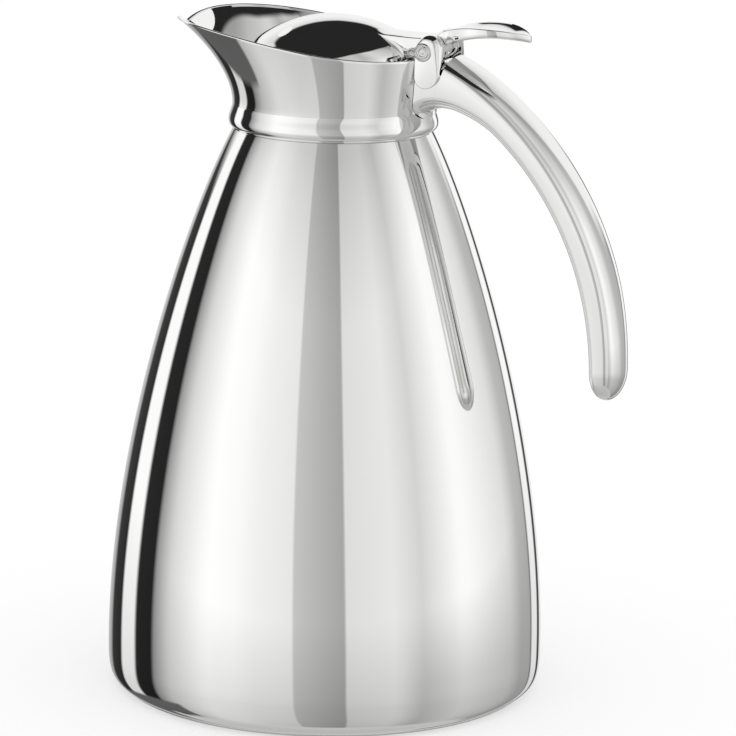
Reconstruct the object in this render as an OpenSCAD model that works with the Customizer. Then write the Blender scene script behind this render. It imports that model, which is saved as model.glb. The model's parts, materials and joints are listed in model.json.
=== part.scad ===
// Double-wall insulated serving jug: spouted collar, cast handle and a sprung lever lid.
// Origin: centre of the foot on the table. +Z up, handle towards +X, spout towards -X.

/* [Body] */
// Radius of the body at its widest, just above the foot
body_r = 65; // [54:1:78]
// Height of the body shell up to the neck ring
body_h = 168; // [140:1:202]
// Height of the widest place above the table
belly_z = 12; // [9:1:20]
// How long the wall stays close to its widest radius
belly_pull = 61; // [45:1:75]
// Length of the shoulder's last straight run
shoulder_pull = 29; // [15:1:40]
// Slope of the shoulder from the vertical, degrees
shoulder_slope = 27.3; // [20:0.5:34]
// Sheet thickness of the outer shell, collar and dome
sheet = 0.8; // [0.6:0.1:1.2]
// How far the flat standing ring lies inside the widest radius
foot_inset = 5.6; // [5.2:0.1:10]
// Height of the base cover's visible band
foot_band = 1.4; // [1:0.1:2.5]

/* [Flask] */
// Outer radius of the flask's neck tube
neck_r = 26.9; // [22:0.1:33]
// Height of the neck tube above the body shell
neck_h = 15; // [14:0.5:20]
// Width of the vacuum between the two walls of the body
vacuum_gap = 5.2; // [3:0.1:9]
// Width of the vacuum in the neck
neck_gap = 2; // [1:0.1:3]
// Wall of the inner flask
liner_wall = 0.7; // [0.5:0.1:1]
// Height of the flask's floor above the table
floor_z = 13.5; // [12.5:0.5:20]
// Radius of the flask's bottom corner
floor_round = 14; // [8:1:20]

/* [Spout collar] */
// Height of the neck ring with its bead
ring_h = 7.3; // [6:0.1:10]
// How far the bead stands out of the ring
bead_out = 1.05; // [0.5:0.05:2]
// Height of the collar's rim behind, above the neck tube
rim_back_h = 8.3; // [7:0.1:9.5]
// Height of the rim beside the spout's tip, above the neck tube
rim_tip_h = 16.95; // [12:0.05:26]
// How far the pouring lip drops at the very tip
lip_drop = 3.4; // [0:0.1:5]
// How far the spout's tip stands out from the collar's foot
spout_out = 19.75; // [12:0.05:30]
// How far the rim flares out at each side
rim_flare = 2.95; // [2:0.05:8]

/* [Lid] */
// How far the lid dome's rim laps over the mouth
dome_lap = 2.1; // [1.6:0.1:3.5]
// Radius of the dome's crown
dome_ball_r = 38.8; // [34:0.1:60]
// Radius of the dome's shoulder
dome_shoulder_r = 9.3; // [3:0.1:11]

/* [Hinge and lever] */
// Distance from the collar's foot out to the hinge pin
pin_out = 1.65; // [1.2:0.05:4]
// Height of the hinge pin above the lid's lower edge
pin_rise = 6.3; // [6:0.1:8]
// Radius of the hinge pin
pin_r = 1.95; // [1.5:0.05:2.2]
// Radius of the lever's knuckle
knuckle_r = 4.2; // [3.8:0.1:4.4]
// Thickness of the hinge saddle's tongues on the sides of the handle
tongue_t = 1; // [0.6:0.1:2]
// Thickness of each ear
ear_t = 4.2; // [3:0.1:4.5]
// Length of the lever from the pin to the tip of the thumb pad
lever_len = 29; // [25:0.5:36]
// Length of the lever's arm from the pin over the dome
arm_len = 17.5; // [14:0.5:20]
// Half width of the lever's thumb pad
lever_half_w = 9.4; // [8:0.1:11]
// Depth of the dish in the thumb pad
dish_depth = 0.9; // [0.4:0.1:1.2]
// Radius of the spring wire
spring_wire_r = 0.45; // [0.3:0.05:0.5]
// Turns of the lid spring
spring_turns = 3.75; // [2.75:1:4]

/* [Handle] */
// Distance from the body's widest radius out to the grip's side edge
handle_gap = 22.8; // [16:0.1:36]
// How far the handle's free end hangs below the neck ring's top
handle_drop = 80.3; // [60:0.1:100]
// Half width of the handle
handle_half_w = 10; // [9:0.1:12]
// Height of the handle's outer crown
handle_crown = 4.6; // [3:0.1:6]
// Height of the flat side band
handle_side = 2.4; // [1.5:0.1:4]
// Depth of the rounded inner side
handle_belly = 3.7; // [2.5:0.1:5]

/* [Hidden] */

steel = "gainsboro";
fine = 96;          // faces of the round parts, where they are drawn as a mesh
eps = 0.01;

// Clearances
loose = 0.3;        // beside a moving or a curved neighbour
snug = 0.1;         // between fixed pieces
running = 0.05;     // between pin and bore

// Radii, from the neck tube outwards
skirt_in = neck_r + 0.4;
skirt_out = skirt_in + sheet;
ring_in = skirt_out + 0.2;
collar_r = ring_in + 1.55;
shoulder_r = collar_r - 0.45;
mouth_r = neck_r - sheet - neck_gap - liner_wall;
dome_r = mouth_r + dome_lap;
pin_x = collar_r + pin_out;
arm_tip_x = pin_x - arm_len;
lever_tip_x = pin_x + lever_len;
spout_reach = collar_r + spout_out;
rim_half_w = collar_r + rim_flare;
foot_r = body_r - foot_inset;
handle_reach = body_r + handle_gap;

// Heights, from the body shell upwards
waist_z = body_h + ring_h;
neck_top = body_h + neck_h;
flange_top = neck_top + liner_wall;
gasket_t = 0.6;
mouth_ring_z = flange_top + gasket_t;
mouth_ring_t = 2.8;
mouth_top = mouth_ring_z + mouth_ring_t;
lid_z = mouth_top + loose;                     // lower edge of the dome
pin_z = lid_z + pin_rise;
rim_back = neck_top + rim_back_h;
rim_tip = neck_top + rim_tip_h;
handle_tip_z = waist_z - handle_drop;

// ---- curves --------------------------------------------------------------------------------------

function unit(v) = v / norm(v);
function turn(v) = [v[1], -v[0]];
function mix(a, b, t) = a + (b - a) * t;
function bezier(p, t) = pow(1 - t, 3) * p[0] + 3 * pow(1 - t, 2) * t * p[1]
    + 3 * (1 - t) * t * t * p[2] + pow(t, 3) * p[3];
function bezier_dir(p, t) = unit(pow(1 - t, 2) * (p[1] - p[0]) + 2 * (1 - t) * t * (p[2] - p[1])
    + t * t * (p[3] - p[2]));
function curve(p, n, inset = 0) = [for (i = [0:n]) let (t = i / n)
    bezier(p, t) - inset * turn(bezier_dir(p, t))];
function arc(c, r, a0, a1, n) = [for (i = [0:n]) c + r * [cos(mix(a0, a1, i / n)), sin(mix(a0, a1, i / n))]];
function reversed(v) = [for (i = [len(v) - 1:-1:0]) v[i]];

// Centre of the circle through three points
function circle_mid(a, b, c) = let (
    d = 2 * (a[0] * (b[1] - c[1]) + b[0] * (c[1] - a[1]) + c[0] * (a[1] - b[1])),
    qa = a * a, qb = b * b, qc = c * c)
    [(qa * (b[1] - c[1]) + qb * (c[1] - a[1]) + qc * (a[1] - b[1])) / d,
     (qa * (c[0] - b[0]) + qb * (a[0] - c[0]) + qc * (b[0] - a[0])) / d];

// Solid of revolution about the jug's axis
module lathe(outline) rotate_extrude($fn = fine) polygon(outline);

// Plate of a given width, centred on the plane of symmetry, from an outline in X and Z
module slab(w) translate([0, w / 2, 0]) rotate([90, 0, 0]) linear_extrude(w) children();

// Round bar along Y through a point in X and Z
module bar(at, r, y0, y1) translate([at[0], y1, at[1]]) rotate([90, 0, 0])
    cylinder(r = r, h = y1 - y0, $fn = 48);

// Closed skin over a list of rings that turn right-handed about the way they are laid,
// with capped ends or as a closed loop
module skin(rings, loop = false) {
    n = len(rings[0]);
    m = len(rings);
    last = loop ? m - 1 : m - 2;
    walls = [for (j = [0:last], i = [0:n - 1]) let (
        a = j * n + i, b = j * n + (i + 1) % n,
        c = ((j + 1) % m) * n + (i + 1) % n, d = ((j + 1) % m) * n + i)
        each [[a, c, b], [a, d, c]]];
    caps = loop ? [] : [[for (i = [0:n - 1]) i], [for (i = [n - 1:-1:0]) (m - 1) * n + i]];
    polyhedron([for (r = rings) each r], concat(walls, caps));
}

// ---- body ----------------------------------------------------------------------------------------

shell_curve = [[body_r, belly_z], [body_r, belly_z + belly_pull],
    [shoulder_r + shoulder_pull * sin(shoulder_slope), body_h - shoulder_pull * cos(shoulder_slope)],
    [shoulder_r, body_h]];
edge_r = foot_r + 2.7;                       // the shell's lower edge, over the base cover
corner_curve = [[edge_r, foot_band], [edge_r + 2.2, foot_band + 1.4],
    [body_r, foot_band + 3], [body_r, belly_z]];
flask_in = sheet + vacuum_gap;               // from the shell's outer face to the flask's outer face

module outer_shell() color(steel) lathe(concat(
    curve(corner_curve, 8), curve(shell_curve, 30),
    [[neck_r, body_h + sheet], [neck_r, neck_top], [neck_r - sheet, neck_top], [neck_r - sheet, body_h]],
    reversed(curve(shell_curve, 30, sheet)),
    reversed([for (p = curve(corner_curve, 8, sheet)) if (p[1] > foot_band) p]),
    [[edge_r - sheet, foot_band]]));

// Pressed cover with the standing ring and a skirt that plugs into the shell
module base_cover() color(steel) {
    skirt_r = edge_r - sheet - loose;
    skirt_h = 4.2;
    ring_inner = foot_r - 5;
    rise = 2.4;
    lathe([[0, rise], [ring_inner - 1.6, rise], [ring_inner, 0], [foot_r, 0], [foot_r + 1.7, 0.5],
        [edge_r - 0.2, foot_band - running], [skirt_r, foot_band - running], [skirt_r, foot_band + skirt_h],
        [skirt_r - sheet, foot_band + skirt_h], [skirt_r - sheet, foot_band - snug], [foot_r - 0.2, sheet],
        [ring_inner + 0.4, sheet], [ring_inner - 1.2, rise + sheet], [0, rise + sheet]]);
}

// Disc that closes the vacuum jacket, with a turned-up weld rim
jacket_z = 8;
jacket_r = body_r - sheet - 2 * loose;
plug_hole_r = 2;
module shell_base() color(steel) lathe([[plug_hole_r, jacket_z], [jacket_r, jacket_z],
    [jacket_r, jacket_z + 4], [jacket_r - sheet, jacket_z + 4], [jacket_r - sheet, jacket_z + sheet],
    [plug_hole_r, jacket_z + sheet]]);

module vacuum_plug() color("darkgray") lathe([[0, jacket_z - 3.2], [1.4, jacket_z - 3.2],
    [2.2, jacket_z - 2.4], [2.2, jacket_z - 1.2], [4, jacket_z - 1], [4, jacket_z],
    [plug_hole_r - running, jacket_z], [plug_hole_r - running, jacket_z + sheet], [0, jacket_z + sheet]]);

module getter() color("dimgray") translate([24, 0, jacket_z + sheet])
    cylinder(r = 5, h = 2.5, $fn = 48);

flask_wall_r = body_r - flask_in;
module inner_flask() color(steel) {
    mid = [flask_wall_r - floor_round, floor_z + floor_round];
    out = [for (p = curve(shell_curve, 30, flask_in))
        if (p[1] > mid[1] && p[0] > mouth_r + liner_wall) p];
    in = [for (p = curve(shell_curve, 30, flask_in + liner_wall))
        if (p[1] > mid[1] && p[0] > mouth_r) p];
    lathe(concat(
        [[0, floor_z]], arc(mid, floor_round, -90, 0, 8), out,
        [[mouth_r + liner_wall, body_h - 2], [mouth_r + liner_wall, neck_top], [neck_r, neck_top],
         [neck_r, flange_top], [mouth_r, flange_top], [mouth_r, body_h - 2]],
        reversed(in), arc(mid, floor_round - liner_wall, 0, -90, 8), [[0, floor_z + liner_wall]]));
}

// Foil that turns heat back, wrapped round the flask's wall
module copper_foil() color("peru") {
    foil_t = 0.3;
    inset = flask_in - loose - foil_t;
    low = floor_z + floor_round + 4;
    lathe(concat([for (p = curve(shell_curve, 30, inset)) if (p[1] > low && p[1] < body_h - 18) p],
        reversed([for (p = curve(shell_curve, 30, inset + foil_t)) if (p[1] > low && p[1] < body_h - 18) p])));
}

// ---- collar --------------------------------------------------------------------------------------

bead_z = body_h + 3.1;
module neck_ring() color(steel) lathe(concat(
    [[ring_in, body_h + sheet + snug], [ring_in, waist_z - 0.1], [collar_r, waist_z - 0.1],
     [collar_r + 0.1, waist_z - 1.2]],
    curve([[collar_r + 0.35, bead_z + 2.4], [collar_r + bead_out + 0.1, bead_z + 2],
        [collar_r + bead_out + 0.2, bead_z - 1.6], [collar_r, bead_z - 2.6]], 10),
    [[shoulder_r + 0.1, body_h + 0.05], [shoulder_r - 0.4, body_h + sheet + snug]]));

// Rim of the spout collar: a full oval in plan that climbs from the hinge to the spout, then
// narrows and drops into a small pouring lip
back_reach = collar_r + 1.05;
rim_climb = 1.81;
flare_back = 1.1;
flare_spout = 2.05;
flare_turn = 2.5;      // how late, going round, the flare of the spout takes over
function to_spout(a) = (1 - cos(a)) / 2;
function lip(a) = pow(to_spout(a), 20);
rim_full = 2.2;        // how much fuller than an ellipse the rim is at both ends
lip_narrow = 0.45;     // share of its width that the rim loses at the lip
function rim_xy(a) = [mix(-spout_reach, back_reach, (1 + cos(a)) / 2),
    (rim_half_w + rim_full * pow(cos(a), 2)) * sin(a) * (1 - lip_narrow * lip(a))];
function rim_z(a) = mix(rim_back, rim_tip, pow(sin(90 * to_spout(a)), rim_climb)) - lip_drop * pow(lip(a), 2);

// Outline of the collar's wall at one place round the rim, as [radius, height] pairs
function collar_section(a, rows) = let (
        rim = norm(rim_xy(a)) - collar_r, rise = rim_z(a) - waist_z,
        p = mix(flare_back, flare_spout, pow(to_spout(a), flare_turn)),
        outside = [for (i = [0:rows]) let (t = i / rows) [collar_r + rim * pow(t, p), waist_z + rise * t]],
        inside = [for (i = [rows:-1:0]) let (t = i / rows, lean = p * rim * pow(t, p - 1) / rise)
            [outside[i][0] - sheet * sqrt(1 + lean * lean), i == 0 ? waist_z + sheet : outside[i][1]]])
    concat([[skirt_in, body_h + 1.5], [skirt_out, body_h + 1.5], [skirt_out, waist_z]], outside, inside,
        [[skirt_in, waist_z + sheet]]);

module spout_collar() color(steel) difference() {
    skin([for (a = [360:-5:5]) let (xy = rim_xy(a), b = atan2(xy[1], xy[0]))
        [for (q = collar_section(a, 8)) [q[0] * cos(b), q[0] * sin(b), q[1]]]], loop = true);
    // gap for the lever's arm, and the holes for the handle's screws
    translate([skirt_in - 4, -gap_y - loose, notch_z]) cube([12, 2 * (gap_y + loose), rim_tip - notch_z]);
    screw_holes(screw_r + snug, skirt_in, collar_r + 4);
}

collar_in = collar_r - sheet;
module collar_seal() color("whitesmoke") rotate_extrude($fn = fine)
    translate([(neck_r + collar_in) / 2, waist_z + sheet + 1.05])
        circle(r = (collar_in - neck_r) / 2 - running, $fn = 32);

module mouth_gasket() color("whitesmoke") lathe([[mouth_r + 0.3, flange_top], [neck_r, flange_top],
    [neck_r, mouth_ring_z], [mouth_r + 0.3, mouth_ring_z]]);

// Ring that seals the mouth, with a conical seat for the lid
seat_rise = 2.2;
module mouth_ring() color("silver") lathe([[mouth_r + 0.2, mouth_ring_z], [neck_r + 0.2, mouth_ring_z],
    [neck_r + 0.2, mouth_ring_z - 1.6], [neck_r + 1, mouth_ring_z - 1.6], [neck_r + 1, mouth_ring_z],
    [collar_in - 0.2, mouth_ring_z],
    [collar_in - 0.2, mouth_top - 0.4], [collar_in - 0.6, mouth_top],
    [mouth_r + 0.2 + seat_rise, mouth_top], [mouth_r + 0.2, mouth_top - seat_rise]]);

// ---- handle --------------------------------------------------------------------------------------

ear_x = pin_x + 1.35;
ear_r = 3.9;
ear_y = handle_half_w + tongue_t;
gap_y = ear_y - ear_t;                 // inner faces of the ears
notch_z = pin_z - knuckle_r - 0.8;     // floor of the hinge, below the knuckle
saddle_z = notch_z - 1.4;              // where the hinge saddle sits on the handle
screw_r = 1.2;
screw_y = 3.6;
screw_head_r = 2;
plate_in = collar_in - 1.05;
plate_z0 = waist_z + 3.2;
plate_z1 = neck_top - 0.9;
screw_z = (plate_z0 + plate_z1) / 2;
screw_tip = collar_r + 6;

module screw_holes(r, from, to) for (y = [-screw_y, screw_y])
    translate([from, y, screw_z]) rotate([0, 90, 0]) cylinder(r = r, h = to - from, $fn = 24);

// Upper side edge of the handle, from the collar to the free end
grip_curve = [[collar_r - 1.85, saddle_z + 2.8], [collar_r + 10.9, saddle_z + 2.5],
    [handle_reach + 3, handle_tip_z + 64.5], [handle_reach, handle_tip_z]];
root_end = 0.4;        // share of the handle over which its side grows towards the collar
foot_z = bead_z + 2.5; // underside of the root, above the neck ring's bead
root_side = saddle_z - foot_z - 4.5;   // growth of the side at the collar
root_belly = 1.9;      // growth of the inner side at the collar
tip_from = 0.955;      // share of the handle where its free end starts to round off
function grip_t(x, a = 0, b = 1, n = 24) = n == 0 ? a : let (m = (a + b) / 2)
    bezier(grip_curve, m)[0] < x ? grip_t(x, m, b, n - 1) : grip_t(x, a, m, n - 1);
saddle_t = grip_t(ear_x + ear_r + 0.15);

// Section across the handle at t: a crowned outside, a flat side and a rounded inside
function grip_ring(t, n = 10) = let (
        under_saddle = t <= saddle_t,
        q = max(0, (t - tip_from) / (1 - tip_from)), s = max(0.02, sqrt(max(0, 1 - q * q))),
        thin = 1 - 0.12 * pow(t, 2), w = handle_half_w * thin, c = under_saddle ? eps : handle_crown * thin,
        edge = bezier(grip_curve, t),
        up = unit(mix([0, 1], -turn(bezier_dir(grip_curve, t)), min(1, t / 0.25))),
        seat_z = saddle_z - 2 * eps,
        p = under_saddle && edge[1] > seat_z ? [edge[0], seat_z] : edge,
        h = handle_side + root_side * pow(max(0, 1 - t / root_end), 1.4) - (edge[1] - p[1]),
        d = handle_belly * thin + root_belly * pow(1 - t, 3), mid = (c - h - d) / 2,
        low = t < saddle_t ? foot_z : 0,
        flat = concat([for (i = [0:n]) let (b = 180 * i / n) [w * cos(b), c * sin(b)]],
            [for (i = [0:n]) let (b = 180 + 180 * i / n) [w * cos(b), d * sin(b) - h]]))
    [for (f = flat) let (k = mid + s * (f[1] - mid), z = max(low, p[1] + k * up[1]))
        [t == 0 ? collar_r - 6 : p[0] + k * up[0], s * f[0], z]];
grip_steps = concat([for (i = [0:5]) saddle_t * i / 5],
    [for (i = [0:22]) mix(saddle_t + 0.002, tip_from, i / 22)],
    [for (i = [1:6]) mix(tip_from, 1, sin(15 * i))]);

module handle() color(steel) difference() {
    skin([for (t = grip_steps) grip_ring(t)]);
    // seat against the collar and the neck ring
    cylinder(r = collar_r + 0.5, h = waist_z + 0.2);
    translate([0, 0, waist_z]) cylinder(r1 = collar_r + snug, r2 = back_reach + snug,
        h = rim_back - waist_z, $fn = fine);
    screw_holes(screw_r + running, collar_r - 2, screw_tip + 0.4);
}

// Saddle over the handle's root: a floor, two ears for the pin and a tongue down each side
module hinge_saddle() color(steel) difference() {
    union() {
        for (side = [-1, 1]) {
            translate([0, side * (ear_y + gap_y) / 2, 0]) slab(ear_t) {
                translate([ear_x, pin_z + 1]) circle(r = ear_r, $fn = 64);
                translate([ear_x - ear_r, saddle_z]) square([2 * ear_r, pin_z + 1 - saddle_z]);
            }
            translate([0, side * (ear_y + handle_half_w) / 2, 0]) slab(ear_y - handle_half_w - running)
                polygon(concat([[ear_x + ear_r, saddle_z + 1], [ear_x - ear_r, saddle_z + 1]],
                    curve([[ear_x - ear_r, saddle_z - 0.6], [ear_x - ear_r, saddle_z - 5.2],
                        [ear_x + 2, saddle_z - 5.6], [ear_x + ear_r, saddle_z - 0.2]], 12)));
        }
        translate([ear_x - ear_r, -ear_y, saddle_z]) cube([2 * ear_r, 2 * ear_y, notch_z - saddle_z]);
    }
    // clear of the collar's rim
    cylinder(r = back_reach + 0.2, h = rim_back + 0.2, $fn = fine);
    bar([pin_x, pin_z], pin_r + running, -ear_y - 1, ear_y + 1);
    for (side = [-1, 1])
        bar([pin_x, pin_z], head_r + snug, side * (ear_y + snug) - 0.5, side * (ear_y + snug) + 0.5);
}

// Curved plate inside the collar that the handle's screws pull against
module handle_plate() color("darkgray") difference() {
    rotate([0, 0, -28]) rotate_extrude(angle = 56, $fn = fine)
        polygon([[plate_in, plate_z0], [collar_in - 0.25, plate_z0], [collar_in - 0.25, plate_z1],
            [plate_in, plate_z1]]);
    screw_holes(screw_r + snug, neck_r - 2, collar_r);
}

module handle_screws() color("silver") for (y = [-screw_y, screw_y])
    translate([0, y, screw_z]) rotate([0, 90, 0]) {
        face = sqrt(pow(plate_in, 2) - pow(screw_y + screw_head_r, 2)) - 2 * eps;
        translate([0, 0, face - 0.45]) cylinder(r = screw_head_r, h = 0.45, $fn = 32);
        translate([0, 0, face - eps]) cylinder(r = screw_r, h = screw_tip - face, $fn = 24);
    }

head_r = 2.7;
head_t = 0.7;
module hinge_pin() color("silver") {
    bar([pin_x, pin_z], pin_r, -ear_y - 0.3, ear_y + 0.3);
    for (side = [-1, 1])
        bar([pin_x, pin_z], head_r, side * (ear_y + 0.05) - head_t / 2, side * (ear_y + 0.05) + head_t / 2);
}

// ---- lid -----------------------------------------------------------------------------------------

dome_lean = asin((dome_r - dome_shoulder_r) / (dome_ball_r - dome_shoulder_r));
ball_z = lid_z - (dome_ball_r - dome_shoulder_r) * cos(dome_lean);
function dome_line(inset) = concat(
    arc([0, ball_z], dome_ball_r - inset, 90, 90 - dome_lean, 12),
    arc([dome_r - dome_shoulder_r, lid_z], dome_shoulder_r - inset, 90 - dome_lean, 0, 8));

// Two screws from inside the dome into the lever's arm, square to the dome
lid_screw_x = arm_tip_x + 6.56;
screw_lean = asin(lid_screw_x / dome_ball_r);
lid_screw_y = 3;
lid_screw_r = 1.4;
lid_head_r = 2.4;
lid_head_t = 1.3;
lid_screw_grip = 1.6;      // how far the screws reach into the arm
lid_head_top = sqrt(pow(dome_ball_r - sheet, 2) - pow(lid_screw_y + lid_head_r, 2)) - 0.1;
module at_lid_screws() translate([0, 0, ball_z]) rotate([0, screw_lean, 0])
    for (y = [-lid_screw_y, lid_screw_y]) translate([0, y, 0]) children();

module lid_dome() color(steel) difference() {
    lathe(concat(dome_line(0), reversed(dome_line(sheet))));
    at_lid_screws() cylinder(r = lid_screw_r + snug, h = dome_ball_r + 1, $fn = 24);
}

module lid_screws() color("silver") at_lid_screws() {
    translate([0, 0, lid_head_top - lid_head_t]) cylinder(r = lid_head_r, h = lid_head_t, $fn = 32);
    translate([0, 0, lid_head_top - eps])
        cylinder(r = lid_screw_r, h = dome_ball_r + lid_screw_grip - lid_head_top, $fn = 24);
}

// Plug: a flange under the dome, a groove for the seal and a rim that keeps the seal on
flange_z = lid_z + 0.1;
groove_r = mouth_r - 3;
module lid_liner() color("whitesmoke") lathe([[0, flange_z - 4.6], [groove_r + 0.6, flange_z - 4.6],
    [groove_r + 1.6, flange_z - 3.6], [groove_r + 1.6, flange_z - 3.1], [groove_r, flange_z - 3.1],
    [groove_r, flange_z - 0.1], [dome_r - sheet - 0.2, flange_z - 0.1],
    [dome_r - sheet - 0.2, flange_z + 0.9], [groove_r - 1.2, flange_z + 0.9],
    [groove_r - 1.2, flange_z - 3.4], [0, flange_z - 3.4]]);

module lid_seal() color("whitesmoke") {
    seat_r = mouth_r + 0.2;
    low = flange_z - 3.05;
    in_seat = seat_r - 1.45 * loose + (low - (mouth_top - seat_rise));
    lathe([[groove_r + 0.05, low], [in_seat, low], [in_seat + (flange_z - 0.7 - low), flange_z - 0.7],
        [in_seat + (flange_z - 0.7 - low), flange_z - 0.15], [groove_r + 0.05, flange_z - 0.15]]);
}

// Foam that fills the lid, with pockets for the screw heads
module lid_insulation() color("ivory") difference() {
    lathe(concat([[0, flange_z - 3.3], [groove_r - 1.4, flange_z - 3.3], [groove_r - 1.4, flange_z + 1]],
        [for (p = reversed(dome_line(sheet + loose))) if (p[1] > flange_z + 1.2) p]));
    at_lid_screws() translate([0, 0, lid_head_top - lid_head_t - loose])
        cylinder(r = lid_head_r + loose, h = 9, $fn = 32);
}

// Side outline of the lid lever: arm over the dome, knuckle on the pin, thumb pad
pad_crest = [pin_x + 15.8, pin_z + 7.7];
pad_tip = [lever_tip_x, pin_z + 5.5];
arm_end = [pin_x + 4, pin_z + 5.6];
arm_top = [[arm_tip_x, pin_z + 3.9], [arm_tip_x + 11, pin_z + 3.7], [pin_x, pin_z + 2.4], arm_end];
pad_top = [arm_end, [arm_end[0] + 4, pad_crest[1] + 0.2], pad_crest + [5, 1.2], pad_tip];
pad_under = [pad_tip - [0.3, 1.9], pad_crest + [4, -1.5], pad_crest - [3, 2.6], [pin_x + 4.2, pin_z + 1.2]];

module lever_side() polygon(concat(curve(arm_top, 12), [for (i = [1:14]) bezier(pad_top, i / 14)],
    curve(pad_under, 12), [[pin_x, pin_z - 3], [pin_x - 7, pin_z - 3], [arm_tip_x, pin_z]]));

// Plan of the lever: a straight arm between the ears and a leaf-shaped pad
knuckle_y = gap_y - loose;
module lever_plan() {
    half = concat([[arm_tip_x, knuckle_y]],
        curve([[pin_x + 5.6, knuckle_y], [pin_x + 9.5, lever_half_w + 1.4], [pin_x + 19, lever_half_w + 2.4],
            [lever_tip_x, 0.5]], 14));
    polygon(concat(half, reversed([for (p = half) [p[0], -p[1]]])));
}

// Circle of the pad's dish, through three places above its top line
dish_tube_r = 16;
dish_mid = circle_mid(pad_crest - [5, 0.25], pad_crest + [4, -0.05], pad_tip - [1, -0.3]);
dish_r = norm(pad_crest - [5, 0.25] - dish_mid);
module lid_lever() color(steel) difference() {
    union() {
        intersection() {
            slab(30) lever_side();
            translate([0, 0, pin_z - 20]) linear_extrude(40) lever_plan();
        }
        bar([pin_x, pin_z], knuckle_r, -knuckle_y, knuckle_y);
    }
    // thumb dish
    intersection() {
        translate([dish_mid[0], 0, dish_mid[1]]) rotate([90, 0, 0]) rotate_extrude($fn = fine)
            translate([dish_r + dish_tube_r - dish_depth, 0]) circle(r = dish_tube_r, $fn = fine);
        translate([pin_x + 6, -20, pin_z]) cube(40);
    }
    // seat on the dome
    intersection() {
        translate([0, 0, ball_z]) sphere(r = dome_ball_r + snug, $fn = fine);
        cylinder(r = dome_r + loose, h = 2 * body_h, $fn = fine);
    }
    // pocket for the spring, and the bores
    bar([pin_x, pin_z], spring_r + spring_wire_r + 0.3, knuckle_y - spring_room, gap_y + 1);
    bar([pin_x, pin_z], pin_r + running, -gap_y - 1, gap_y + 1);
    bar(arm_pin_at, arm_pin_r + running, -gap_y, gap_y);
    at_lid_screws() cylinder(r = lid_screw_r + running, h = dome_ball_r + lid_screw_grip + 0.2, $fn = 24);
}

// Pin across the arm that takes the spring's moving leg
arm_pin_at = [pin_x - 4.7, pin_z - 0.8];
arm_pin_r = 1.45;
module arm_pin() color("silver") bar(arm_pin_at, arm_pin_r, -gap_y - 1, gap_y + 1);

// Coil of the torsion spring round the pin, in a pocket of the knuckle
spring_r = pin_r + 0.95;
spring_room = (spring_turns + 1.7) * 2 * spring_wire_r;
function coil(a) = [pin_x + spring_r * cos(a),
    gap_y - loose - spring_wire_r - (a / 360) * 2.1 * spring_wire_r,
    pin_z + spring_r * sin(a)];
function hoop(c, side, up, r) = [for (k = [0:7]) c + r * (cos(45 * k) * side + sin(45 * k) * up)];
module lid_spring() color("silver") {
    steps = round(spring_turns * 16);
    a_end = 360 * spring_turns;
    skin([for (i = [0:steps]) let (a = a_end * i / steps)
        hoop(coil(a), [cos(a), 0, sin(a)], [0, 1, 0], spring_wire_r)]);
}

base_cover();
shell_base();
vacuum_plug();
getter();
outer_shell();
copper_foil();
inner_flask();
neck_ring();
collar_seal();
spout_collar();
mouth_gasket();
mouth_ring();
handle_plate();
handle_screws();
handle();
hinge_saddle();
hinge_pin();
lid_spring();
lid_lever();
arm_pin();
lid_dome();
lid_screws();
lid_insulation();
lid_liner();
lid_seal();
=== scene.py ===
import json
import math

import bmesh
import bpy
from mathutils import Matrix, Vector


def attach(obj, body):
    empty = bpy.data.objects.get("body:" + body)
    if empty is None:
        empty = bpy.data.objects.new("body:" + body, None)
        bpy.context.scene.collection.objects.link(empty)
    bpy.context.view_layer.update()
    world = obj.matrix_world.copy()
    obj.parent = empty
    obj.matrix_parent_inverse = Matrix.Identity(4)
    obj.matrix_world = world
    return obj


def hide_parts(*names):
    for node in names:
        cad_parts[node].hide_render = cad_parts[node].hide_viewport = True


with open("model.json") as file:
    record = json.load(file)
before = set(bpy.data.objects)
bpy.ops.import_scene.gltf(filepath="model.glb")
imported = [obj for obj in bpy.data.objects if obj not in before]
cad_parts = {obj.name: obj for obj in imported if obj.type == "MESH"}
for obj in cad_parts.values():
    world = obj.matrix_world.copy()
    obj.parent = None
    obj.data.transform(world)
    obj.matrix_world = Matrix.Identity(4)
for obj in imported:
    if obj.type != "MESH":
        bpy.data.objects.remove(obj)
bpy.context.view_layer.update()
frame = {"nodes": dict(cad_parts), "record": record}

# ---- sizes of the jug, in millimetres, as the solids have them -----------------------------------

MM = 0.001
SHEET = 0.8
BODY_R, BODY_H, BELLY_Z, BELLY_PULL = 65.0, 168.0, 12.0, 61.0
SHOULDER_PULL, SHOULDER_SLOPE = 29.0, math.radians(27.3)
FOOT_R, FOOT_BAND = 59.4, 1.4
EDGE_R = FOOT_R + 2.7
NECK_R, NECK_TOP = 26.9, 183.0
SKIRT_IN, SKIRT_OUT, RING_IN = 27.3, 28.1, 28.3
COLLAR_R, SHOULDER_R, MOUTH_R, DOME_R = 29.85, 29.4, 23.4, 25.5
WAIST_Z, BEAD_Z, BEAD_OUT = 175.3, 171.1, 1.05
FLANGE_TOP, MOUTH_RING_Z, MOUTH_TOP, LID_Z = 183.7, 184.3, 187.1, 187.4
RIM_BACK, RIM_TIP, SPOUT_REACH, BACK_REACH, RIM_HALF_W = 191.3, 199.95, 49.6, 30.9, 32.8
RIM_FULL, RIM_CLIMB, LIP_DROP, LIP_NARROW = 2.2, 1.81, 3.4, 0.45
FLARE_BACK, FLARE_SPOUT, FLARE_TURN = 1.1, 2.05, 2.5
BALL_R, DOME_SHOULDER_R = 38.8, 9.3
PIN_X, PIN_Z, PIN_R, KNUCKLE_R, HEAD_R = 31.5, 193.7, 1.95, 4.2, 2.7
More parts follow.
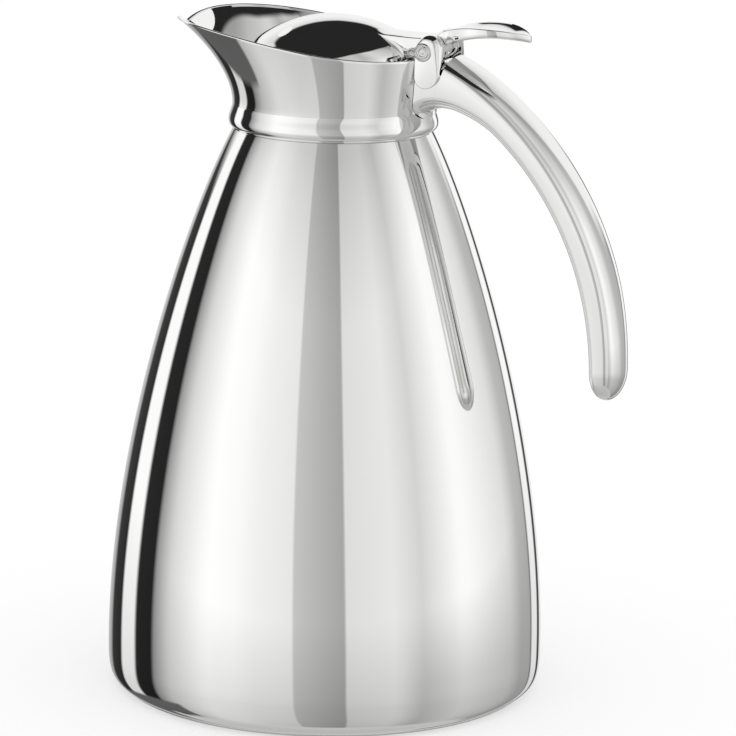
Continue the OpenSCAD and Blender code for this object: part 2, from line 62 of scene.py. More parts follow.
EAR_X, EAR_R, EAR_Y, GAP_Y, KNUCKLE_Y = 32.85, 3.9, 11.0, 6.8, 6.5
NOTCH_Z, SADDLE_Z, FOOT_Z = 188.7, 187.3, 173.6
LEVER_TIP_X, LEVER_HALF_W = 60.5, 9.4
HANDLE_REACH, HANDLE_TIP_Z, HANDLE_HALF_W = 87.8, 95.0, 10.0
HANDLE_CROWN, HANDLE_SIDE, HANDLE_BELLY = 4.6, 2.4, 3.7
FLASK_IN, FLASK_WALL, FLOOR_Z, FLOOR_ROUND = 6.0, 0.7, 13.5, 14.0
ROUND = 192            # faces of a turned piece


# ---- plane geometry ------------------------------------------------------------------------------

def mix(a, b, t):
    return a + (b - a) * t


def smooth_step(t):
    t = max(0.0, min(1.0, t))
    return t * t * (3 - 2 * t)


def bezier(p, t):
    return ((1 - t) ** 3 * Vector(p[0]) + 3 * (1 - t) ** 2 * t * Vector(p[1])
            + 3 * (1 - t) * t * t * Vector(p[2]) + t ** 3 * Vector(p[3]))


def bezier_dir(p, t):
    q = [Vector(v) for v in p]
    slope = (1 - t) ** 2 * (q[1] - q[0]) + 2 * (1 - t) * t * (q[2] - q[1]) + t * t * (q[3] - q[2])
    return slope.normalized()


def curve(p, n, offset=0.0):
    """Points along a Bezier curve, moved sideways by offset, as for the inner face of a sheet."""
    line = []
    for i in range(n + 1):
        d = bezier_dir(p, i / n)
        line.append(bezier(p, i / n) - offset * Vector((d.y, -d.x)))
    return line


def arc(centre, r, a0, a1, n):
    angles = [math.radians(mix(a0, a1, i / n)) for i in range(n + 1)]
    return [Vector((centre[0] + r * math.cos(a), centre[1] + r * math.sin(a))) for a in angles]


NEARLY_STRAIGHT = math.radians(88)
MOST_OF_SIDE = 0.49    # so that the roundings at a side's two ends don't meet


def fillet(points, steps=5):
    """A closed outline whose corners (x, y, radius) are rounded; a corner with no radius stays sharp."""
    outline = []
    n = len(points)
    for i, p in enumerate(points):
        here = Vector(p[:2])
        radius = p[2] if len(p) > 2 else 0.0
        before = Vector(points[i - 1][:2]) - here
        after = Vector(points[(i + 1) % n][:2]) - here
        if radius <= 0:
            outline.append(here)
            continue
        a, b = before.normalized(), after.normalized()
        half = math.acos(max(-1.0, min(1.0, a.dot(b)))) / 2
        if half > NEARLY_STRAIGHT:
            outline.append(here)
            continue
        reach = min(radius / math.tan(half), MOST_OF_SIDE * before.length, MOST_OF_SIDE * after.length)
        radius = reach * math.tan(half)
        centre = here + (a + b).normalized() * (radius / math.sin(half))
        start, end = here + a * reach - centre, here + b * reach - centre
        sweep = start.angle_signed(end)
        for k in range(steps + 1):
            turn = Matrix.Rotation(-sweep * k / steps, 2)
            outline.append(centre + turn @ start)
    return outline


# ---- meshes --------------------------------------------------------------------------------------

WELD, SLIVER = 2e-6, 1e-7    # metres: points this close are joined, edges this short are dropped


def put_in_scene(name, data):
    made = bpy.data.objects.new(name, data)
    bpy.context.scene.collection.objects.link(made)
    return made


def piece(name, verts, faces, material, body, slot, stands_for, crease):
    """A closed smooth mesh in the jug's frame; edges that turn by more than crease degrees stay sharp."""
    mesh = bpy.data.meshes.new(name)
    mesh.from_pydata([Vector(v) * MM for v in verts], [], faces)
    bm = bmesh.new()
    bm.from_mesh(mesh)
    bmesh.ops.remove_doubles(bm, verts=bm.verts, dist=WELD)
    bmesh.ops.dissolve_degenerate(bm, edges=bm.edges, dist=SLIVER)
    bmesh.ops.recalc_face_normals(bm, faces=bm.faces)
    for f in bm.faces:
        f.smooth = True
    for e in bm.edges:
        e.smooth = len(e.link_faces) == 2 and e.calc_face_angle(0) < math.radians(crease)
    bm.to_mesh(mesh)
    bm.free()
    mesh.materials.append(material)
    obj = put_in_scene(name, mesh)
    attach(obj, body)
    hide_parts(*stands_for)


def lathe(outline, segments=ROUND):
    """Verts and faces of a closed outline of (radius, height) turned about the jug's axis."""
    verts, faces = [], []
    n = len(outline)
    for k in range(segments):
        a = 2 * math.pi * k / segments
        verts += [(p[0] * math.cos(a), p[0] * math.sin(a), p[1]) for p in outline]
    for k in range(segments):
        near, far = k * n, ((k + 1) % segments) * n
        faces += [(near + i, far + i, far + (i + 1) % n, near + (i + 1) % n) for i in range(n)]
    return verts, faces


def skin(rings, loop=False):
    """Verts and faces of a skin over rings of equal length, with capped ends or as a closed loop."""
    n, m = len(rings[0]), len(rings)
    verts = [p for ring in rings for p in ring]
    faces = []
    for j in range(m if loop else m - 1):
        a, b = j * n, ((j + 1) % m) * n
        faces += [(a + i, a + (i + 1) % n, b + (i + 1) % n, b + i) for i in range(n)]
    if not loop:
        faces += [tuple(range(n - 1, -1, -1)), tuple((m - 1) * n + i for i in range(n))]
    return verts, faces


def along_y(outline, at, segments=64):
    """Verts and faces of a closed outline of (radius, y) turned about a line along Y through at."""
    verts, faces = lathe(outline, segments)
    return [(at[0] + v[0], v[2], at[1] + v[1]) for v in verts], faces


def join(*parts):
    """Verts and faces of several shapes as one."""
    verts, faces = [], []
    for v, f in parts:
        base = len(verts)
        verts += v
        faces += [tuple(i + base for i in face) for face in f]
    return verts, faces


# ---- materials -----------------------------------------------------------------------------------

def linear(hex_colour):
    """Linear RGBA from an sRGB hex value."""
    parts = [int(hex_colour[i:i + 2], 16) / 255 for i in (1, 3, 5)]
    return tuple(c / 12.92 if c <= 0.04045 else ((c + 0.055) / 1.055) ** 2.4 for c in parts) + (1.0,)


def add(tree, kind, inputs=(), stops=(), **settings):
    """Adds a node with its settings. Inputs are pairs of an input's name or number and a value or
    another node's output; stops are pairs of a place from 0 to 1 and a colour, for a ramp."""
    made = tree.nodes.new(kind)
    for name, value in settings.items():
        setattr(made, name, value)
    for name, value in inputs:
        if isinstance(value, bpy.types.NodeSocket):
            tree.links.new(value, made.inputs[name])
        else:
            made.inputs[name].default_value = value
    for i, (at, colour) in enumerate(stops):
        elements = made.color_ramp.elements
        stop = elements[i] if i < 2 else elements.new(at)
        stop.position, stop.color = at, colour
    return made


def new_material(name, values):
    """A material with one Principled shader; values are pairs of its input's name and a value."""
    material = bpy.data.materials.new(name)
    material.use_nodes = True
    tree = material.node_tree
    tree.nodes.clear()
    shader = add(tree, "ShaderNodeBsdfPrincipled", values)
    add(tree, "ShaderNodeOutputMaterial", [("Surface", shader.outputs["BSDF"])])
    return material, tree, shader


def mottle(tree, size_mm, detail, stretch=(1, 1, 1)):
    """Pattern of blobs about size_mm across, longer along the axes with a small stretch."""
    object_place = add(tree, "ShaderNodeTexCoord")
    scaled = add(tree, "ShaderNodeMapping", [("Vector", object_place.outputs["Object"]), ("Scale", stretch)])
    blobs = add(tree, "ShaderNodeTexNoise", [("Vector", scaled.outputs["Vector"]), ("Detail", detail),
                                             ("Scale", 1 / (size_mm * MM))])
    return blobs.outputs["Fac"]


HAZE_MM = 9.0    # size of the cloudy patches that buffing leaves


def metal(name, colour, rough, haze, wave_mm, wave, scratch_mm=0.0, scratch=0.0, stretch=(1, 1, 1)):
    """Bare metal: a base colour, a roughness that wanders by haze, a slow wave in the surface that
    bends reflections, and fine lines left by the wheel. The heights are in millimetres too."""
    material, tree, shader = new_material(name, [("Base Color", linear(colour)), ("Metallic", 1.0)])
    cloud = add(tree, "ShaderNodeMapRange", [("Value", mottle(tree, HAZE_MM, 3.0)),
                                             ("To Min", max(0.0, rough - haze)), ("To Max", rough + haze)])
    tree.links.new(cloud.outputs["Result"], shader.inputs["Roughness"])
    relief = add(tree, "ShaderNodeBump", [("Height", mottle(tree, wave_mm, 0.0)), ("Strength", 1.0),
                                          ("Distance", wave * MM)])
    if scratch:
        relief = add(tree, "ShaderNodeBump", [("Height", mottle(tree, scratch_mm, 2.0, stretch)),
                                              ("Normal", relief.outputs["Normal"]), ("Strength", 1.0),
                                              ("Distance", scratch * MM)])
    tree.links.new(relief.outputs["Normal"], shader.inputs["Normal"])
    return material


# Stainless sheet, spun and buffed to a mirror: sharp reflections with a trace of haze
mirror_sheet = metal("mirror_polished_stainless", "#F4F4F3", rough=0.035, haze=0.015,
                     wave_mm=45.0, wave=0.012)
# Cast stainless, ground and buffed by hand: the same mirror, over slow waves from the wheel
mirror_casting = metal("hand_buffed_cast_stainless", "#F3F3F2", rough=0.04, haze=0.02,
                       wave_mm=14.0, wave=0.02)
# Satin stainless inside: fine lines round the axis that smear reflections upwards
satin_sheet = metal("satin_stainless", "#DCDCDA", rough=0.32, haze=0.06, wave_mm=30.0, wave=0.02,
                    scratch_mm=0.5, scratch=0.004, stretch=(0.05, 0.05, 1))
# Turned stainless pins and screws: fairly bright, with faint tool lines
turned_steel = metal("turned_stainless", "#D8D8D6", rough=0.16, haze=0.05, wave_mm=8.0, wave=0.004,
                     scratch_mm=0.25, scratch=0.002, stretch=(1, 0.1, 1))
# Rolled copper foil, slightly crumpled
copper_foil = metal("rolled_copper_foil", "#D9A184", rough=0.22, haze=0.08, wave_mm=6.0, wave=0.05)
# Pressed getter powder and dull solder, both sealed inside
sintered_getter = metal("sintered_getter_alloy", "#6E6C6A", rough=0.65, haze=0.1, wave_mm=1.2, wave=0.05)
lead_free_solder = metal("lead_free_solder", "#B9B9B5", rough=0.42, haze=0.1, wave_mm=3.0, wave=0.04)

PLASTIC_IOR = 1.49
LIGHT_BLEED = (2.0, 2.0, 1.8)    # how far red, green and blue travel inside silicone


def moulded(name, colour, rough, grain_mm, grain, softness=0.0):
    """Moulded plastic or rubber: an even colour with a fine mould grain."""
    material, tree, shader = new_material(name, [("Base Color", linear(colour)), ("Roughness", rough),
                                                 ("IOR", PLASTIC_IOR)])
    if softness:
        shader.inputs["Subsurface Weight"].default_value = softness
        shader.inputs["Subsurface Radius"].default_value = [reach * MM for reach in LIGHT_BLEED]
    relief = add(tree, "ShaderNodeBump", [("Height", mottle(tree, grain_mm, 3.0)), ("Strength", 1.0),
                                          ("Distance", grain * MM)])
    tree.links.new(relief.outputs["Normal"], shader.inputs["Normal"])
    return material


# Food-grade silicone: milky, with light bleeding through its edges
silicone = moulded("milky_silicone", "#ECECE6", rough=0.42, grain_mm=1.5, grain=0.006, softness=0.4)
# Polypropylene liner: white with a fine spark grain
polypropylene = moulded("white_polypropylene", "#F0F0EC", rough=0.38, grain_mm=0.6, grain=0.01)
# Rigid foam: off-white and matt with open cells
rigid_foam = moulded("rigid_foam", "#F1EBDD", rough=0.9, grain_mm=0.9, grain=0.15)

FINISH = {"polished_steel": mirror_sheet, "polished_casting": mirror_casting, "satin_steel": satin_sheet,
          "plain_steel": turned_steel, "silicone": silicone, "copper": copper_foil,
          "getter_alloy": sintered_getter, "solder": lead_free_solder, "white_plastic": polypropylene,
          "foam": rigid_foam}
slot_of = {s["node"]: s["material_slot"] for s in frame["record"]["subparts"]}
for node_name, node_object in frame["nodes"].items():
    node_object.data.materials.clear()
    node_object.data.materials.append(FINISH[slot_of[node_name]])


def make(name, shape, nodes, body="jug", crease=32):
    """A piece that stands for those nodes, in the first one's finish."""
    slot = slot_of[nodes[0]]
    piece(name, *shape, FINISH[slot], body, slot, nodes, crease)


# ---- body ----------------------------------------------------------------------------------------

shell_curve = [(BODY_R, BELLY_Z), (BODY_R, BELLY_Z + BELLY_PULL),
               (SHOULDER_R + SHOULDER_PULL * math.sin(SHOULDER_SLOPE),
                BODY_H - SHOULDER_PULL * math.cos(SHOULDER_SLOPE)), (SHOULDER_R, BODY_H)]
corner_curve = [(EDGE_R, FOOT_BAND), (EDGE_R + 2.2, FOOT_BAND + 1.4), (BODY_R, FOOT_BAND + 3),
                (BODY_R, BELLY_Z)]
flask_wall_r = BODY_R - FLASK_IN

shell_outline = (curve(corner_curve, 24) + curve(shell_curve, 120)[1:]
                 + [Vector(p) for p in ((NECK_R, BODY_H + SHEET), (NECK_R, NECK_TOP),
                                        (NECK_R - SHEET, NECK_TOP), (NECK_R - SHEET, BODY_H))]
                 + curve(shell_curve, 120, SHEET)[::-1]
                 + [p for p in curve(corner_curve, 24, SHEET)[::-1] if p.y > FOOT_BAND]
                 + [Vector((EDGE_R - SHEET, FOOT_BAND))])
make("outer_shell_skin", lathe(shell_outline), ["outer_shell"])

skirt_r = EDGE_R - SHEET - 0.3
skirt_top = FOOT_BAND + 4.2
ring_inner = FOOT_R - 5
cover_rise = 2.4       # height of the cover's middle over the table
make("base_cover_pressing", lathe(fillet([
    (0, cover_rise), (ring_inner - 1.6, cover_rise, 1.2), (ring_inner, 0, 1.0), (FOOT_R, 0, 0.8),
    (FOOT_R + 1.7, 0.5, 1.5), (EDGE_R - 0.2, FOOT_BAND - 0.05, 0.2), (skirt_r, FOOT_BAND - 0.05),
    (skirt_r, skirt_top, 0.2), (skirt_r - SHEET, skirt_top, 0.2), (skirt_r - SHEET, FOOT_BAND - 0.1),
    (FOOT_R - 0.2, SHEET, 0.8), (ring_inner + 0.4, SHEET, 0.6), (ring_inner - 1.2, cover_rise + SHEET, 0.6),
    (0, cover_rise + SHEET)])), ["base_cover"])

floor_corner = (flask_wall_r - FLOOR_ROUND, FLOOR_Z + FLOOR_ROUND)
throat_z = BODY_H - 2


def flask_wall(inward, mouth_r):
    """The shell's curve moved inward, from the floor's rounding up to the throat."""
    return [p for p in curve(shell_curve, 90, inward) if p.y > floor_corner[1] and p.x > mouth_r]


flask_throat = [Vector(p) for p in (
    (MOUTH_R + FLASK_WALL, throat_z), (MOUTH_R + FLASK_WALL, NECK_TOP), (NECK_R, NECK_TOP),
    (NECK_R, FLANGE_TOP), (MOUTH_R, FLANGE_TOP), (MOUTH_R, throat_z))]
flask_outline = ([Vector((0, FLOOR_Z))] + arc(floor_corner, FLOOR_ROUND, -90, 0, 16)
                 + flask_wall(FLASK_IN, MOUTH_R + FLASK_WALL) + flask_throat
                 + flask_wall(FLASK_IN + FLASK_WALL, MOUTH_R)[::-1]
                 + arc(floor_corner, FLOOR_ROUND - FLASK_WALL, 0, -90, 16)
                 + [Vector((0, FLOOR_Z + FLASK_WALL))])
make("inner_flask_skin", lathe(flask_outline), ["inner_flask"])

# ---- neck and spout collar -----------------------------------------------------------------------

# The bead swells out of the collar in one long S-curve and turns back in sharply below
bead = curve([(COLLAR_R, WAIST_Z - 0.01), (COLLAR_R, WAIST_Z - 1.6),
              (COLLAR_R + BEAD_OUT, BEAD_Z + 1.1), (COLLAR_R + BEAD_OUT, BEAD_Z - 0.5)], 24)
bead += curve([(COLLAR_R + BEAD_OUT, BEAD_Z - 0.5), (COLLAR_R + BEAD_OUT, BEAD_Z - 1.5),
               (COLLAR_R + 0.8, BEAD_Z - 2.2), (COLLAR_R, BEAD_Z - 2.6)], 20)[1:]
ring_low = BODY_H + SHEET + 0.1
ring_outline = ([Vector(p) for p in ((RING_IN, ring_low), (RING_IN, WAIST_Z - 0.1),
                                     (COLLAR_R - 0.15, WAIST_Z - 0.1))]
                + bead + [Vector((SHOULDER_R + 0.1, BODY_H + 0.05)), Vector((SHOULDER_R - 0.4, ring_low))])
make("neck_ring_bead", lathe(ring_outline), ["neck_ring"])


LIP_SHARPNESS = 20     # how closely the pouring lip keeps to the spout's middle


def to_spout(a):
    """0 at the hinge and 1 at the spout; angles round the jug start at the hinge."""
    return (1 - math.cos(a)) / 2


def lip(a):
    return to_spout(a) ** LIP_SHARPNESS


def rim_xy(a):
    """The egg-shaped rim, seen from above."""
    half = RIM_HALF_W + RIM_FULL * math.cos(a) ** 2
    return Vector((mix(-SPOUT_REACH, BACK_REACH, (1 + math.cos(a)) / 2),
                   half * math.sin(a) * (1 - LIP_NARROW * lip(a))))


def rim_z(a):
    return (mix(RIM_BACK, RIM_TIP, math.sin(math.pi / 2 * to_spout(a)) ** RIM_CLIMB)
            - LIP_DROP * lip(a) ** 2)


def collar_section(a, cut_z, rows=40, edge_steps=8):
    """Outline of the collar's wall at one place round the rim, as (radius, height), with a rounded
    edge. Where cut_z is given, the wall is cut off at that height."""
    reach, rise = rim_xy(a).length - COLLAR_R, rim_z(a) - WAIST_Z
    power = mix(FLARE_BACK, FLARE_SPOUT, to_spout(a) ** FLARE_TURN)
    half = SHEET / 2
    top = 1.0 if cut_z is None else min(1.0, (cut_z - WAIST_Z) / rise)
    top -= half / rise

    def wall(t):
        """Radius, height and lean of the outer face, from the waist at 0 to the rim at 1."""
        lean = power * reach * t ** (power - 1) / rise if t > 0 else 0.0
        return COLLAR_R + reach * t ** power, WAIST_Z + rise * t, math.atan(lean)

    outside = [wall(top * i / rows) for i in range(rows + 1)]
    r, z, lean = outside[-1]
    across = half / math.cos(lean)
    turns = [math.pi * k / edge_steps for k in range(1, edge_steps)]
    edge = [Vector((r - across + across * math.cos(b), z + half * math.sin(b))) for b in turns]
    inside = [Vector((p[0] - SHEET / math.cos(p[2]), p[1])) for p in outside[::-1]]
    inside[-1].y = WAIST_Z + SHEET
    skirt = [Vector(p) for p in ((SKIRT_IN, BODY_H + 1.5), (SKIRT_OUT, BODY_H + 1.5), (SKIRT_OUT, WAIST_Z))]
    return (skirt + [Vector(p[:2]) for p in outside] + edge + inside
            + [Vector((SKIRT_IN, WAIST_Z + SHEET))])


def collar_ring(a, cut_z=None):
    out = rim_xy(a).normalized()
    return [(q.x * out.x, q.x * out.y, q.y) for q in collar_section(a, cut_z)]


# The wall runs from one side of the hinge's notch round to the other, then low across the notch
notch_a = math.asin((GAP_Y + 0.3) / (RIM_HALF_W + RIM_FULL))
COLLAR_STEPS, NOTCH_STEPS = 216, 12
HAIR = 0.004           # of a step: keeps the notch's upright ends from closing to nothing
collar_rings = [collar_ring(mix(notch_a, 2 * math.pi - notch_a, i / COLLAR_STEPS))
                for i in range(COLLAR_STEPS + 1)]
collar_rings += [collar_ring(mix(-notch_a, notch_a, (i + HAIR) / (NOTCH_STEPS + 2 * HAIR)), NOTCH_Z)
                 for i in range(NOTCH_STEPS + 1)]
make("spout_collar_skin", skin(collar_rings, loop=True), ["spout_collar"])

seat = 2.2             # width of the mouth ring's 45 degree seat
collar_in = COLLAR_R - SHEET
make("mouth_ring_turned", lathe(fillet([
    (MOUTH_R + 0.2, MOUTH_RING_Z), (NECK_R + 0.2, MOUTH_RING_Z), (NECK_R + 0.2, MOUTH_RING_Z - 1.6),
    (NECK_R + 1, MOUTH_RING_Z - 1.6), (NECK_R + 1, MOUTH_RING_Z), (collar_in - 0.2, MOUTH_RING_Z),
    (collar_in - 0.2, MOUTH_TOP - 0.4, 0.2), (collar_in - 0.6, MOUTH_TOP, 0.2),
    (MOUTH_R + 0.2 + seat, MOUTH_TOP, 0.4), (MOUTH_R + 0.2, MOUTH_TOP - seat, 0.4)])), ["mouth_ring"])

# ---- handle --------------------------------------------------------------------------------------

grip_curve = [(COLLAR_R - 1.85, SADDLE_Z + 2.8), (COLLAR_R + 10.9, SADDLE_Z + 2.5),
              (HANDLE_REACH + 3, HANDLE_TIP_Z + 64.5), (HANDLE_REACH, HANDLE_TIP_Z)]
# Shares of the grip's length: where its sections stand square to it, where its deep root ends, where
# its crown grows rounder and where its tip begins
SQUARE_FROM, ROOT_END, CROWN_EASES, TIP_FROM = 0.25, 0.4, 0.8, 0.955
ROOT_SIDE, ROOT_BELLY, GRIP_TAPER = 9.2, 1.9, 0.12
ROOT_X = COLLAR_R - 6    # the root's end, before it is cut to the collar's face
CROWN_POWER = 0.78     # below 1: the crown is fuller than an ellipse
SEAT_STEPS, GRIP_STEPS, TIP_STEPS = 12, 110, 12


def grip_t(x):
    """Share of the grip's curve at which it reaches x."""
    low, high = 0.0, 1.0
    for _ in range(40):
        m = (low + high) / 2
        low, high = (m, high) if bezier(grip_curve, m).x < x else (low, m)
    return low


saddle_t = grip_t(EAR_X + EAR_R + 0.15)


def collar_face(z):
    """Radius of the collar's outer face behind the hinge, with the handle's fitting gap."""
    if z < WAIST_Z + 0.2:
        return COLLAR_R + 0.5
    return mix(COLLAR_R, BACK_REACH, min(1.0, (z - WAIST_Z) / (RIM_BACK - WAIST_Z))) + 0.1


def squared(c, power):
    """Fuller than a circle: a flatter crown with tighter shoulders."""
    return math.copysign(abs(c) ** power, c)


def grip_ring(t, n=28):
    """Section of the handle: a flat seat under the hinge saddle, a crowned grip, a rounded tip."""
    under = t <= saddle_t
    q = max(0.0, (t - TIP_FROM) / (1 - TIP_FROM))
    s = max(0.02, math.sqrt(max(0.0, 1 - q * q)))
    thin = 1 - GRIP_TAPER * t * t
    w = HANDLE_HALF_W * thin
    crown = 0.01 if under else HANDLE_CROWN * thin
    edge = bezier(grip_curve, t)
    d = bezier_dir(grip_curve, t)
    up = Vector((0, 1)).lerp(Vector((-d.y, d.x)), min(1.0, t / SQUARE_FROM)).normalized()
    top = min(edge.y, SADDLE_Z - 0.02) if under else edge.y
    side = HANDLE_SIDE + ROOT_SIDE * max(0.0, 1 - t / ROOT_END) ** 1.4 - (edge.y - top)
    belly = HANDLE_BELLY * thin + ROOT_BELLY * (1 - t) ** 3
    mid_h = (crown - side - belly) / 2
    low = FOOT_Z if t < saddle_t else 0.0
    power = mix(CROWN_POWER, 1.0, smooth_step((t - CROWN_EASES) / (1 - CROWN_EASES)))
    turns = [math.pi * i / n for i in range(n + 1)]
    section = [(w * squared(math.cos(b), power), crown * squared(math.sin(b), power)) for b in turns]
    section += [(w * math.cos(b), -belly * math.sin(b) - side) for b in turns[::-1]]
    ring = []
    for y, h in section:
        k = mid_h + s * (h - mid_h)
        x, z = edge.x + k * up.x, max(low, top + k * up.y)
        if t == 0:
            x = ROOT_X
        y *= s
        face = collar_face(z)
        x = max(x, math.sqrt(max(0.0, face * face - y * y)))
        ring.append((x, y, z))
    return ring


grip_at = [saddle_t * i / SEAT_STEPS for i in range(SEAT_STEPS + 1)]
grip_at += [mix(saddle_t + 0.002, TIP_FROM, i / GRIP_STEPS) for i in range(GRIP_STEPS + 1)]
grip_at += [mix(TIP_FROM, 1.0, math.sin(math.pi / 2 * i / TIP_STEPS)) for i in range(1, TIP_STEPS + 1)]
make("handle_casting", skin([grip_ring(t) for t in grip_at]), ["handle"], crease=28)

# ---- hinge saddle --------------------------------------------------------------------------------

ear_top = arc((EAR_X, PIN_Z + 1), EAR_R, 0, 180, 28)
ear_outline = ([Vector((EAR_X + EAR_R, SADDLE_Z - 0.2))] + ear_top + [Vector((EAR_X - EAR_R, SADDLE_Z - 0.2))]
               + curve([(EAR_X - EAR_R, SADDLE_Z - 0.6), (EAR_X - EAR_R, SADDLE_Z - 5.2),
                        (EAR_X + 2, SADDLE_Z - 5.6), (EAR_X + EAR_R, SADDLE_Z - 0.4)], 24)[1:-1])


def inset(outline, widths):
    """Moves each point of a closed outline, given anticlockwise, inwards by its own width."""
    moved = []
    for i, p in enumerate(outline):
        d = outline[(i + 1) % len(outline)] - outline[i - 1]
        moved.append(p + Vector((-d.y, d.x)).normalized() * widths[i])
    return moved


EDGE_ROUND, TOP_ROUND = 0.3, 1.9       # rounding of an ear's edge, and how much more its top has
FACET_REACH, FACET_DEPTH = 2.2, 2.6    # how far the facet reaches in, and how deep it falls
FACET_FLAT = 0.22      # share of the quarter turn that the facet leaves out, for a crease at its end


def ear(side, steps=7):
    """One ear with its tongue: a plate rounded over at the top, and behind the pin it falls away in
    a facet that runs out towards the tongue's tip."""
    top = [smooth_step((p.y - PIN_Z - 0.5) / 3) for p in ear_outline]
    back = [smooth_step((p.x - EAR_X - 1.2) / 2) * smooth_step((p.y - SADDLE_Z + 3) / 8) * (1 - t)
            for p, t in zip(ear_outline, top)]
    reach = [EDGE_ROUND + TOP_ROUND * t + FACET_REACH * b for t, b in zip(top, back)]
    depth = [EDGE_ROUND + TOP_ROUND * t + FACET_DEPTH * b for t, b in zip(top, back)]
    most = [math.pi / 2 * (1 - FACET_FLAT * b) for b in back]
    rings = [[(p.x, side * GAP_Y, p.y) for p in ear_outline]]
    for k in range(steps + 1):
        turn = [m * k / steps for m in most]
        line = inset(ear_outline, [r * (1 - math.cos(a)) for r, a in zip(reach, turn)])
        rings.append([(q.x, side * (EAR_Y - d * (math.sin(m) - math.sin(a))), q.y)
                      for q, d, a, m in zip(line, depth, turn, most)])
    return skin(rings if side > 0 else [r[::-1] for r in rings])


floor_block = skin([[(x, y, z) for y, z in ((-EAR_Y + 0.3, SADDLE_Z), (EAR_Y - 0.3, SADDLE_Z),
                                            (EAR_Y - 0.3, NOTCH_Z), (-EAR_Y + 0.3, NOTCH_Z))]
                    for x in (EAR_X - EAR_R + 1.2, EAR_X + EAR_R - 0.05)])
make("hinge_saddle_casting", join(ear(-1), ear(1), floor_block), ["hinge_saddle"], crease=30)


def pin_end(side):
    """Half of the hinge pin: a shank and a riveted end with a chamfered rim, a groove and a flat."""
    end = EAR_Y + 0.4
    outline = fillet([
        (0, 0), (PIN_R, 0), (PIN_R, end - 0.7), (HEAD_R, end - 0.7), (HEAD_R, end - 0.4, 0.25),
        (2.3, end, 0.25), (2.05, end - 0.3, 0.1), (1.85, end - 0.3, 0.1), (1.6, end - 0.05, 0.2),
        (1.25, end - 0.1, 0.1), (1.1, end - 0.3, 0.15), (0.55, end - 0.3, 0.2), (0, end - 0.15)], 4)
    return along_y([Vector((p.x, side * p.y)) for p in outline], (PIN_X, PIN_Z))


make("hinge_pin_riveted", join(pin_end(-1), pin_end(1)), ["hinge_pin"], crease=40)

# ---- lid -----------------------------------------------------------------------------------------

dome_lean = math.degrees(math.asin((DOME_R - DOME_SHOULDER_R) / (BALL_R - DOME_SHOULDER_R)))
BALL_Z = LID_Z - (BALL_R - DOME_SHOULDER_R) * math.cos(math.radians(dome_lean))


def dome_line(off, n=48, m=24):
    return (arc((0, BALL_Z), BALL_R - off, 90, 90 - dome_lean, n)
            + arc((DOME_R - DOME_SHOULDER_R, LID_Z), DOME_SHOULDER_R - off, 90 - dome_lean, 0, m)[1:])


make("lid_dome_spun", lathe(dome_line(0) + dome_line(SHEET)[::-1]), ["lid_dome"], body="lid")


def dome_height(x, y):
    """Height of the dome's outer face over a point, or None beyond its rim."""
    r = math.hypot(x, y)
    if r <= BALL_R * math.sin(math.radians(dome_lean)):
        return BALL_Z + math.sqrt(BALL_R ** 2 - r * r)
    if r >= DOME_R:
        return None
    return LID_Z + math.sqrt(max(0.0, DOME_SHOULDER_R ** 2 - (r - DOME_R + DOME_SHOULDER_R) ** 2))


flange_z = LID_Z + 0.1
groove_r = MOUTH_R - 3
make("lid_liner_moulding", lathe(fillet([
    (0, flange_z - 4.6), (groove_r + 0.6, flange_z - 4.6, 0.8), (groove_r + 1.6, flange_z - 3.6, 0.3),
    (groove_r + 1.6, flange_z - 3.1, 0.1), (groove_r, flange_z - 3.1), (groove_r, flange_z - 0.1),
    (DOME_R - SHEET - 0.2, flange_z - 0.1, 0.2), (DOME_R - SHEET - 0.2, flange_z + 0.9, 0.2),
    (groove_r - 1.2, flange_z + 0.9), (groove_r - 1.2, flange_z - 3.4), (0, flange_z - 3.4)])),
     ["lid_liner"], body="lid")

# The seal's cone lies on the mouth ring's seat
seat_low = flange_z - 3.05
cone_top = flange_z - 0.7
in_seat = MOUTH_R + 0.2 - 0.435 + (seat_low - (MOUTH_TOP - seat))
seal_r = in_seat + cone_top - seat_low
make("lid_seal_ring", lathe(fillet([
    (groove_r + 0.05, seat_low), (in_seat, seat_low, 0.4), (seal_r, cone_top, 0.3),
    (seal_r, flange_z - 0.15, 0.2), (groove_r + 0.05, flange_z - 0.15)])), ["lid_seal"], body="lid")

# ---- lever ---------------------------------------------------------------------------------------

ARM_TIP_X = 14.0
ARM_TIP_RISE = 3.9
ARM_CROWN = 0.42       # covers the ends of the lid's screws
CROWN_TO_X, CROWN_FADE = 22, 5
DOME_TO_X = 26         # the arm is clear of the dome from here
RUN_OUT = 0.9          # how softly the arm runs out into the dome
DISH_DEPTH = 1.35      # the thumb's dish, deeper than the solid's
LEVER_FROM_X, LEVER_STEP, PAD_STEPS = 9.5, 0.35, 50
PAD_FROM_X = PIN_X + 5.6
PAD_UNDER_X = PIN_X + 4.3
arm_end = (PIN_X + 4, PIN_Z + 5.6)
pad_crest = Vector((PIN_X + 15.8, PIN_Z + 7.7))
pad_tip = Vector((LEVER_TIP_X, PIN_Z + 5.5))
arm_top = [(ARM_TIP_X, PIN_Z + ARM_TIP_RISE), (ARM_TIP_X + 11, PIN_Z + 3.7), (PIN_X, PIN_Z + 2.4), arm_end]
pad_top = [arm_end, (arm_end[0] + 4, pad_crest.y + 0.2), pad_crest + Vector((5, 1.2)), pad_tip]
pad_under = [pad_tip - Vector((0.3, 1.9)), pad_crest + Vector((4, -1.5)), pad_crest - Vector((3, 2.6)),
             (PIN_X + 4.2, PIN_Z + 1.2)]
pad_plan = [(PAD_FROM_X, KNUCKLE_Y), (PIN_X + 12, KNUCKLE_Y + 1.6), (PIN_X + 20, LEVER_HALF_W + 4.4),
            (LEVER_TIP_X, 0.5)]


